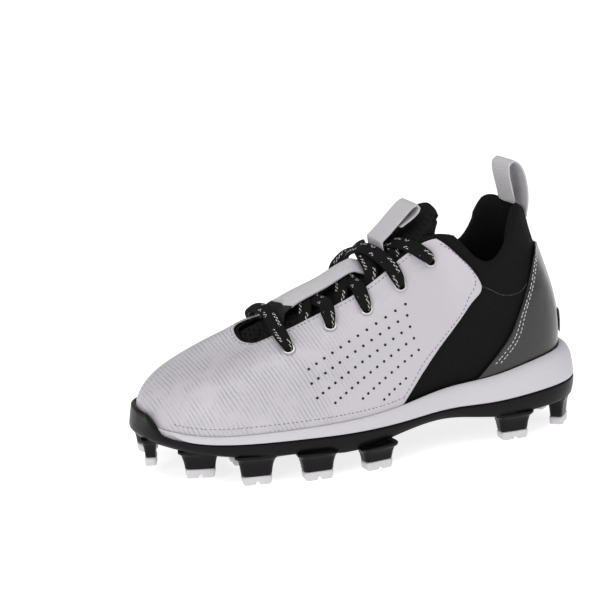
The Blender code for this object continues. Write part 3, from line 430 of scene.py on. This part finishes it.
def laid(tree, points, step=0.6):
    """A smooth line dropped onto a skin, evened out, with the skin's direction at each point."""
    line, out = [], []
    for point in curve(points, step):
        foot, normal = tree.find_nearest(Vector(point))[:2]
        line.append(np.array(foot))
        out.append(np.array(normal))
    near = np.pad(line, ((4, 4), (0, 0)), "edge")
    even = [np.convolve(near[:, axis], np.ones(9) / 9, "valid") for axis in range(3)]
    return np.stack(even, axis=1), np.array(out)


def mesh_piece(name, corners, faces):
    """A smooth piece from its corners and faces."""
    mesh = bpy.data.meshes.new(name)
    mesh.from_pydata([tuple(corner) for corner in corners], [], faces)
    mesh.update()
    piece = bpy.data.objects.new(name, mesh)
    bpy.context.scene.collection.objects.link(piece)
    pick(piece)
    bpy.ops.object.shade_smooth()
    return piece


def stitches(name, rows, pitch=2.3, length=1.5, width=0.5, lift=0.05):
    """Rows of thread, each stitch a small round-ended bar half sunk in the skin."""
    shares = np.array((-1.0, -0.85, -0.4, 0.4, 0.85, 1.0))
    girths = np.array((0.25, 0.75, 1.0, 1.0, 0.75, 0.25))
    sinks = np.array((-0.9, -0.3, 0.0, 0.0, -0.3, -0.9))
    sides = 6
    turns = np.linspace(0, math.tau, sides, endpoint=False)
    corners, faces = [], []
    for line, out in rows:
        run = np.concatenate(([0], np.cumsum(np.linalg.norm(np.diff(line, axis=0), axis=1))))
        for at in np.arange(pitch * MM / 2, run[-1], pitch * MM):
            i = min(int(np.searchsorted(run, at)), len(line) - 2)
            ahead = line[min(i + 1, len(line) - 1)] - line[max(i - 1, 0)]
            ahead /= np.linalg.norm(ahead)
            up = out[i] / np.linalg.norm(out[i])
            side = np.cross(up, ahead)
            start = len(corners)
            for share, girth, sink in zip(shares, girths, sinks):
                heart = line[i] + ahead * share * length / 2 * MM + up * (lift + sink * width * 0.4) * MM
                for turn in turns:
                    ring = side * math.cos(turn) + up * math.sin(turn)
                    corners.append(heart + ring * girth * width / 2 * MM)
            last = start + (len(shares) - 1) * sides
            for ring in range(start, last, sides):
                for k in range(sides):
                    a = ring + k
                    b = ring + (k + 1) % sides
                    faces.append((a, b, b + sides, a + sides))
            faces.append(tuple(start + k for k in reversed(range(sides))))
            faces.append(tuple(last + k for k in range(sides)))
    return mesh_piece(name, corners, faces)


panel = take("vamp_panel", "pearl_panel", 0.5)
press(panel, FLEX_CREASES, 4.0, 0.45, (1, -1))
press(panel, EYELET_HOLLOWS, 4.5, 0.5, (1, -1))

pearl, spot = finish("pearl_coating", PEARL, 0.42, Coat_Weight=0.15, Coat_Roughness=0.25)
slant = spot.part("X") - spot.part("Z") * EMBOSS_LEAN
ripple = slant / EMBOSS_PITCH + spot.noise(0.02, 1.0) * 1.1
groove = ripple.wave().ease(0.78, 0.98)
broken = spot.noise(0.009).ease(0.30, 0.62)
front = spot.part("X").ease(0.0, 0.045)
emboss_and_groove_shade = groove * broken * front
(spot.noise(0.0011) * 0.25 - emboss_and_groove_shade).relief(0.00022)
# The sunken embossed grooves are painted a darker pearl: painted shade in the grooves.
emboss_and_groove_shade.between((*PEARL, 1), (0.44, 0.42, 0.455, 1)).set("Base Color")
(spot.noise(0.004) * 0.2 + 0.34).set("Roughness")
wear(panel, pearl, "panel_white", "vamp_panel")

panel_skin = skin_of(panel)
rows = [laid(panel_skin, THROAT_ROW)]
for points in (REAR_ROW, FEATHER_ROW):
    rows.append(laid(panel_skin, points))
    rows.append(laid(panel_skin, mirrored(points)))
thread = finish("grey_thread", THREAD, 0.7)[0]
panel_thread = stitches("panel_stitches", rows, 2.2, 1.15, 0.42)
wear(panel_thread, thread, "webbing_white")


def punched(i, j):
    """Where the hole in row i and column j is, in millimetres on the outer side."""
    return (
        HOLE_CENTRE + HOLE_ALONG * i + HOLE_ACROSS * j + HOLE_TWIST * i * j
        + HOLE_BEND_ALONG * i * i + HOLE_BEND_ACROSS * j * j
    )


corners, faces = [], []
for side in (1, -1):
    for j, first in enumerate(HOLE_STARTS):
        for i in range(first, HOLE_COLUMNS):
            place = punched(i, j) * (1, side, 1)
            if place[0] > HOLE_FRONT or place[2] < HOLE_FLOOR + HOLE_FLOOR_RISE * place[0]:
                continue
            inward = Vector((-0.15, -0.85 * side, -0.5)).normalized()
            foot, out = panel_skin.ray_cast(Vector(place * MM) - inward * 0.02, inward)[:2]
            along = out.orthogonal().normalized()
            across = out.cross(along)
            start = len(corners)
            for radius, lift in HOLE_RIMS:
                for turn in np.linspace(0, math.tau, HOLE_SIDES, endpoint=False):
                    ring = along * math.cos(turn) + across * math.sin(turn)
                    corners.append(foot + ring * radius * MM + out * lift * MM)
            middle = start + HOLE_SIDES
            bottom = middle + HOLE_SIDES
            for k in range(HOLE_SIDES):
                n = (k + 1) % HOLE_SIDES
                faces.append((start + k, start + n, middle + n, middle + k))
                faces.append((middle + k, middle + n, bottom + n, bottom + k))
            faces.append(tuple(bottom + k for k in range(HOLE_SIDES)))
holes = mesh_piece("punched_holes", corners, faces)
dark = finish("hole_dark", (0.012, 0.011, 0.012), 0.9)[0]
wear(holes, dark, "upper_black")


# Collar seam
# The row of dark thread that closes the collar's padding, sewn round the ankle on both sides
# from the forefoot panel to the heel counter.
knit_skin = skin_of(upper)
rows = [laid(knit_skin, COLLAR_SEAM), laid(knit_skin, mirrored(COLLAR_SEAM))]
dark_thread = finish("dark_thread", (0.035, 0.035, 0.037), 0.6)[0]
seam_thread = stitches("collar_seam_thread", rows, 1.7, 1.6, 0.5)
wear(seam_thread, dark_thread, "upper_black")


# Heel counter
# A stiff outside cup of black patent sheet round the heel, sewn along its slanting edges.
PATENT = (0.004, 0.004, 0.005)
COUNTER_ROWS = (
    (
        (-62.2, 27.8, 39.2), (-68.3, 27.9, 45.2), (-72.9, 27.7, 50.2), (-75.6, 27.5, 55.1),
        (-78.4, 27.0, 62.8), (-84.5, 25.1, 76.1), (-87.9, 22.5, 85.8), (-91.1, 17.8, 91.9),
        (-93.8, 12.4, 94.4),
    ),
    (
        (-65.0, 27.6, 39.3), (-71.0, 27.6, 45.0), (-75.4, 27.4, 50.1), (-78.1, 27.1, 55.9),
        (-80.9, 26.5, 64.8), (-86.7, 24.3, 78.1), (-89.6, 21.3, 86.5), (-92.2, 16.4, 91.7),
        (-94.9, 10.9, 94.3),
    ),
)
counter = take("heel_counter", "patent_counter", 0.6)
patent, spot = finish("black_patent", PATENT, 0.26, Coat_Weight=0.22, Coat_Roughness=0.05)
(spot.noise(0.012, 1.0) + spot.noise(0.0015) * 0.05).relief(0.0006)
wear(counter, patent, "counter_black", "heel_counter")

counter_skin = skin_of(counter)
rows = []
for points in COUNTER_ROWS:
    rows.append(laid(counter_skin, points))
    rows.append(laid(counter_skin, mirrored(points)))
white_thread = finish("white_thread", (0.62, 0.62, 0.63), 0.7)[0]
counter_thread = stitches("counter_stitches", rows, 2.2, 1.5, 0.45)
wear(counter_thread, white_thread, "webbing_white")


# Heel patch
# A small white rubbery patch with soft edges, glued low on the back of the heel counter, where
# the two halves of the counter meet.
patch = take("heel_patch", "rubber_patch", 0.5)
rubber, spot = finish("white_rubber", (0.50, 0.49, 0.52), 0.5)
spot.noise(0.001).relief(0.0001)
wear(patch, rubber, "midsole_white", "heel_patch")


# Midsole
# A white foam wedge, moulded with a rounded ledge that stands out past the heel.
midsole = take("midsole", "foam_midsole", 0.55, 50)
foam, spot = finish("white_foam", (0.58, 0.56, 0.60), 0.55)
(spot.noise(0.0012) + spot.noise(0.02, 1.0)).relief(0.00015)
(spot.noise(0.015) * 0.2 + 0.45).set("Roughness")
wear(midsole, foam, "midsole_white", "midsole")


# Outsole plate
# One moulding of hard black rubbery plastic: the floor, a lip round its edge, a bumper that
# climbs the toe, and the roots of the studs.
plate = take("outsole", "studded_plate", 0.75, 32)
hard, spot = finish("black_plate", (0.003, 0.003, 0.0035), 0.34, Specular_IOR_Level=0.13, Coat_Weight=0.04)
(spot.noise(0.0010) + spot.noise(0.01, 1.0)).relief(0.0001)
(spot.noise(0.006) * 0.2 + 0.26).set("Roughness")
wear(plate, hard, "outsole_black", "outsole")


# Stud tips
# A white wear cap on each stud, moulded on last, with a notch across its middle.
cap, spot = finish("white_stud_tip", (0.62, 0.60, 0.62), 0.5)
spot.noise(0.001).relief(0.0001)
for node in sorted(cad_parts):
    if node.startswith("tip_"):
        tip = take(node, "cap_" + node[4:], 0.85, 30)
        wear(tip, cap, "stud_tip_white", node)


# Tongue
# A padded black tongue faced with an open mesh, rounded over the instep.
tongue = take("tongue", "mesh_tongue", 0.5)
mesh_cloth, spot = finish("tongue_mesh", (0.006, 0.006, 0.006), 0.85, Specular_IOR_Level=0.15)
cells = spot.node("ShaderNodeTexVoronoi", {}, {"Vector": spot, "Scale": 1 / 0.0021, "Randomness": 0.0})
(1 - cells.ease(0.2, 0.55)).relief(-0.0003)
# The sunken cell centres are painted darker than the mesh threads: painted shade in the openings.
cells.ease(0.25, 0.5).between((0.002, 0.002, 0.002, 1), (0.009, 0.009, 0.010, 1)).set("Base Color")
wear(tongue, mesh_cloth, "upper_black", "tongue")


# Webbing
# White woven tape: the keeper strip along the tongue, with the lower lace crossings under it,
# the loop at the tongue's top, and the pull loop at the heel. The strip's foot is black.
TAPE = (0.53, 0.515, 0.54)
STRIP_FOOT = (0.008, 0.008, 0.008)
STRIP_FOOT_BACK = 0.0365
STRIP_FOOT_TOP = 0.0785
PULL_TUCK = ((-94.5, 0.0, 108.0), 14.0, (3.9, 0.0, 0.0))
PULL_WRAP = ((-91.0, 9.5, 107.0), 7.5, (2.1, 0.0, 0.0))
tape, spot = finish("white_webbing", TAPE, 0.8)
ribs = (spot.part("Y") / 0.0009).wave() + (spot.part("Z") / 0.0011 + spot.part("X") / 0.0013).wave()
ribs.relief(0.00012)
foot = (spot.part("X") > STRIP_FOOT_BACK) * (spot.part("Z") < STRIP_FOOT_TOP)
foot.between((*TAPE, 1), (*STRIP_FOOT, 1)).set("Base Color")
strip = take("tongue_strip", "keeper_strip", 0.5)
wear(strip, tape, "webbing_white", "tongue_strip")
tongue_loop = take("tongue_loop", "tongue_top_loop", 0.5)
wear(tongue_loop, tape, "webbing_white", "tongue_loop")
pull_loop = take("pull_loop", "heel_pull_loop", 0.5)
drag(pull_loop, *PULL_TUCK)
drag(pull_loop, *PULL_WRAP, (1, -1))
wear(pull_loop, tape, "webbing_white", "pull_loop")


# Eyelets
# Small pale metal rings pressed into the panel, five on each side of the throat.
ring_metal = finish("eyelet_metal", (0.66, 0.65, 0.66), 0.35, Metallic=0.6)[0]
for side in ("lateral", "medial"):
    for n in range(1, 6):
        node = "eyelet_%s_%d" % (side, n)
        ring = take(node, "ring_%s_%d" % (side, n), 0.3, 50)
        wear(ring, ring_metal, "eyelet_silver", node)


# Laces
# One flat-oval black lace flecked with white. It crosses the lowest eyelets as a bar, then
# climbs in crossings, each strand out from under one flap and down into the next eyelet.
LACE_WIDTH = 7.2
LACE_THICK = 2.5
LACE_SIDES = 16
LACE_BLACK = (0.005, 0.005, 0.005)
LACE_FLECK = (0.58, 0.57, 0.55)
# Each eyelet's middle, the way it faces, and where the lace goes on the inside of the panel.
EYES = {
    (1, 1): ((44.7, 25.3, 62.0), (0.31, 0.55, 0.78), (43.0, 22.1, 57.6)),
    (1, -1): ((45.6, -25.8, 63.0), (0.16, -0.64, 0.75), (44.7, -22.1, 58.7)),
    (2, 1): ((22.7, 24.6, 70.8), (0.22, 0.65, 0.73), (21.4, 20.9, 66.6)),
    (2, -1): ((23.3, -24.3, 70.4), (0.20, -0.70, 0.69), (22.1, -20.2, 66.5)),
    (3, 1): ((3.8, 25.0, 76.4), (0.28, 0.74, 0.61), (2.2, 20.8, 72.9)),
    (3, -1): ((3.9, -24.7, 75.9), (0.23, -0.81, 0.53), (2.6, -20.1, 72.8)),
    (4, 1): ((-14.2, 25.2, 86.1), (0.27, 0.84, 0.46), (-15.7, 20.4, 83.5)),
    (4, -1): ((-16.9, -23.6, 85.6), (0.04, -0.93, 0.36), (-17.1, -18.3, 83.5)),
    (5, 1): ((-30.9, 24.5, 96.3), (0.05, 0.96, 0.26), (-31.2, 18.9, 94.8)),
    (5, -1): ((-31.7, -22.1, 95.7), (0.11, -0.99, 0.05), (-32.3, -16.4, 95.5)),
}
# Where a strand passes the flap's edge and the middle of the flap on its way to each eyelet,
# and the share of its width that it has there, over the ring, in the hole and behind it.
LACE_BUNCHED = (1.0, 0.95, 0.82, 0.64, 0.56)
FLAPS = {
    (1, 1): ((46.8, 16.3, 69.6), (46.4, 21.8, 67.0)),
    (1, -1): ((49.8, -16.5, 72.0), (48.0, -21.4, 68.7)),
    (2, 1): ((22.3, 16.9, 79.8), (22.6, 22.0, 76.0)),
    (2, -1): ((20.9, -17.5, 79.6), (22.5, -22.0, 75.8)),
    (3, 1): ((5.1, 17.9, 85.9), (4.8, 22.9, 81.8)),
    (3, -1): ((5.1, -18.3, 85.9), (4.8, -23.0, 81.5)),
    (4, 1): ((-10.8, 19.8, 95.9), (-12.4, 24.2, 91.4)),
    (4, -1): ((-11.2, -20.6, 95.4), (-14.4, -23.6, 90.9)),
    (5, 1): ((-23.2, 21.0, 103.2), (-27.4, 25.2, 100.0)),
    (5, -1): ((-25.5, -24.7, 105.2), (-29.0, -23.8, 100.4)),
}
BAR = ((47.3, 9.5, 73.6), (47.8, 2.0, 75.9), (49.5, -6.0, 75.8), (50.6, -12.0, 74.6))
# For each crossing and side: the strand from under one flap up to the shoulder by the next.
# A point with six numbers also has the way that the lace's flat side faces there.
STRANDS = {
    (1, 1): ((32.0, -10.9, 73.9), (25.8, 0.0, 81.6), (23.6, 9.0, 80.0)),
    (1, -1): ((31.3, 11.6, 74.0), (27.1, 0.1, 83.6), (23.6, -9.2, 79.6)),
    (2, 1): ((11.9, -11.5, 81.4), (7.0, 0.5, 89.4), (5.4, 9.3, 87.4)),
    (2, -1): ((12.1, 11.9, 82.0), (7.7, 0.0, 91.4), (5.7, -9.4, 86.8)),
    (3, 1): (
        (5.0, -14.0, 88.5, 0.3, 0.8, 0.3), (2.4, -10.5, 94.0, 0.2, 0.7, 0.5),
        (-0.4, -5.5, 98.8, 0.3, 0.3, 0.9),
        (-4.0, 4.0, 101.8), (-7.6, 12.0, 99.8),
    ),
    (3, -1): ((-3.8, 12.7, 92.2), (-3.4, 1.5, 99.8), (-6.9, -11.6, 100.5)),
    (4, 1): ((-13.4, -11.0, 97.4), (-13.4, 1.0, 101.2), (-18.8, 10.2, 104.0)),
    (4, -1): ((-16.6, 11.8, 99.6), (-18.4, 0.4, 105.6), (-20.2, -8.5, 108.3)),
}


def lifted(point, width=1.0):
    """A lace point over the tongue, with the way its flat side faces there."""
    up = np.array(point[3:6] if len(point) > 3 else (0.42, 0.033 * point[1], 0.80))
    return (*point[:3], *(up / np.linalg.norm(up)), width)


def into_eyelet(n, side):
    """The end of a strand: over the flap, bunched over the ring and down through the hole."""
    eye, out, inside = (np.array(v) for v in EYES[n, side])
    edge, half = (np.array(v) for v in FLAPS[n, side])
    back = (half - eye) / np.linalg.norm(half - eye)
    rim = eye + back * 2.4 + out * 1.5
    drop = eye + back * 0.5 - out * 0.5
    edge_up = (np.array(lifted(edge)[3:6]) + out) / 2
    places = (edge, half, rim, drop, inside)
    ups = (edge_up, out, out, out * 0.5 - back, out * 0.3 - back)
    return [(*place, *up, width) for place, up, width in zip(places, ups, LACE_BUNCHED)]


def lace(name, paths):
    """Flat oval lace swept along paths of place, up direction and width share."""
    turns = np.linspace(0, math.tau, LACE_SIDES + 1)
    corners, faces, cloth = [], [], []
    for path in paths:
        line = curve(path, 0.55)
        place, up, share = line[:, :3], line[:, 3:6], line[:, 6:]
        ahead = np.gradient(place, axis=0)
        ahead /= np.linalg.norm(ahead, axis=1, keepdims=True)
        side = np.cross(up, ahead)
        side /= np.linalg.norm(side, axis=1, keepdims=True)
        over = np.cross(ahead, side)
        run = np.concatenate(([0], np.cumsum(np.linalg.norm(np.diff(place, axis=0), axis=1)))) / MM
        start = len(corners)
        for i in range(len(place)):
            wide = LACE_WIDTH / 2 * share[i, 0]
            thick = LACE_THICK / 2 / share[i, 0] ** 0.3
            for turn in turns[:-1]:
                flat = abs(math.sin(turn)) ** 0.8 * math.copysign(1, math.sin(turn))
                corners.append(
                    place[i] + (side[i] * math.cos(turn) * wide + over[i] * flat * thick) * MM
                )
        for i in range(len(place) - 1):
            for k in range(LACE_SIDES):
                a = start + i * LACE_SIDES + k
                b = start + i * LACE_SIDES + (k + 1) % LACE_SIDES
                faces.append((a, b, b + LACE_SIDES, a + LACE_SIDES))
                u = [0.5 - 0.5 * math.cos(turns[k]), 0.5 - 0.5 * math.cos(turns[k + 1])]
                cloth += [(u[0], run[i]), (u[1], run[i]), (u[1], run[i + 1]), (u[0], run[i + 1])]
        last = start + (len(place) - 1) * LACE_SIDES
        faces.append(tuple(start + k for k in reversed(range(LACE_SIDES))))
        faces.append(tuple(last + k for k in range(LACE_SIDES)))
        cloth += [(0.5, 0.0)] * LACE_SIDES * 2
    piece = mesh_piece(name, corners, faces)
    layer = piece.data.uv_layers.new(name="LaceWeave")
    layer.data.foreach_set("uv", np.array(cloth).ravel())
    return piece


lace_cloth, spot = finish("flecked_lace", LACE_BLACK, 0.8, Specular_IOR_Level=0.15)
weave = spot.node("ShaderNodeUVMap", {"uv_map": "LaceWeave"})
across = weave.part("X")
along = weave.part("Y")
off_middle = across - 0.5
beside = off_middle - ((along / 19.0).fraction() < 0.5) * 0.52 + 0.26
row = abs(abs(beside) - 0.05) < 0.033
slanted = (along / 2.3 + across * 4.5).fraction() < 0.5
patchy = weave.noise(8.0, 1.0) > 0.44
fleck = row * slanted * patchy
fleck.between((*LACE_BLACK, 1), (*LACE_FLECK, 1)).set("Base Color")
braid = (along / 1.1 + across * 3.0).wave() * (along / 1.1 - across * 3.0).wave()
(braid + fleck * 0.5).relief(0.00025)

bar = into_eyelet(1, 1)[::-1] + [lifted(point) for point in BAR] + into_eyelet(1, -1)
lace_bar = lace("lace_lowest_bar", [bar])
wear(lace_bar, lace_cloth, "lace_black", "lace_bar")
for n in range(1, 5):
    paths = []
    for side in (1, -1):
        points = STRANDS[n, side]
        first, hidden = np.array(points[0][:3]), np.array(EYES[n, -side][2])
        start = lifted(first + (hidden - first) * 0.4)
        paths.append([start] + [lifted(point) for point in points] + into_eyelet(n + 1, side))
    strand = lace("lace_crossing_%d" % n, paths)
    wear(strand, lace_cloth, "lace_black", "lace_cross_%d" % n)
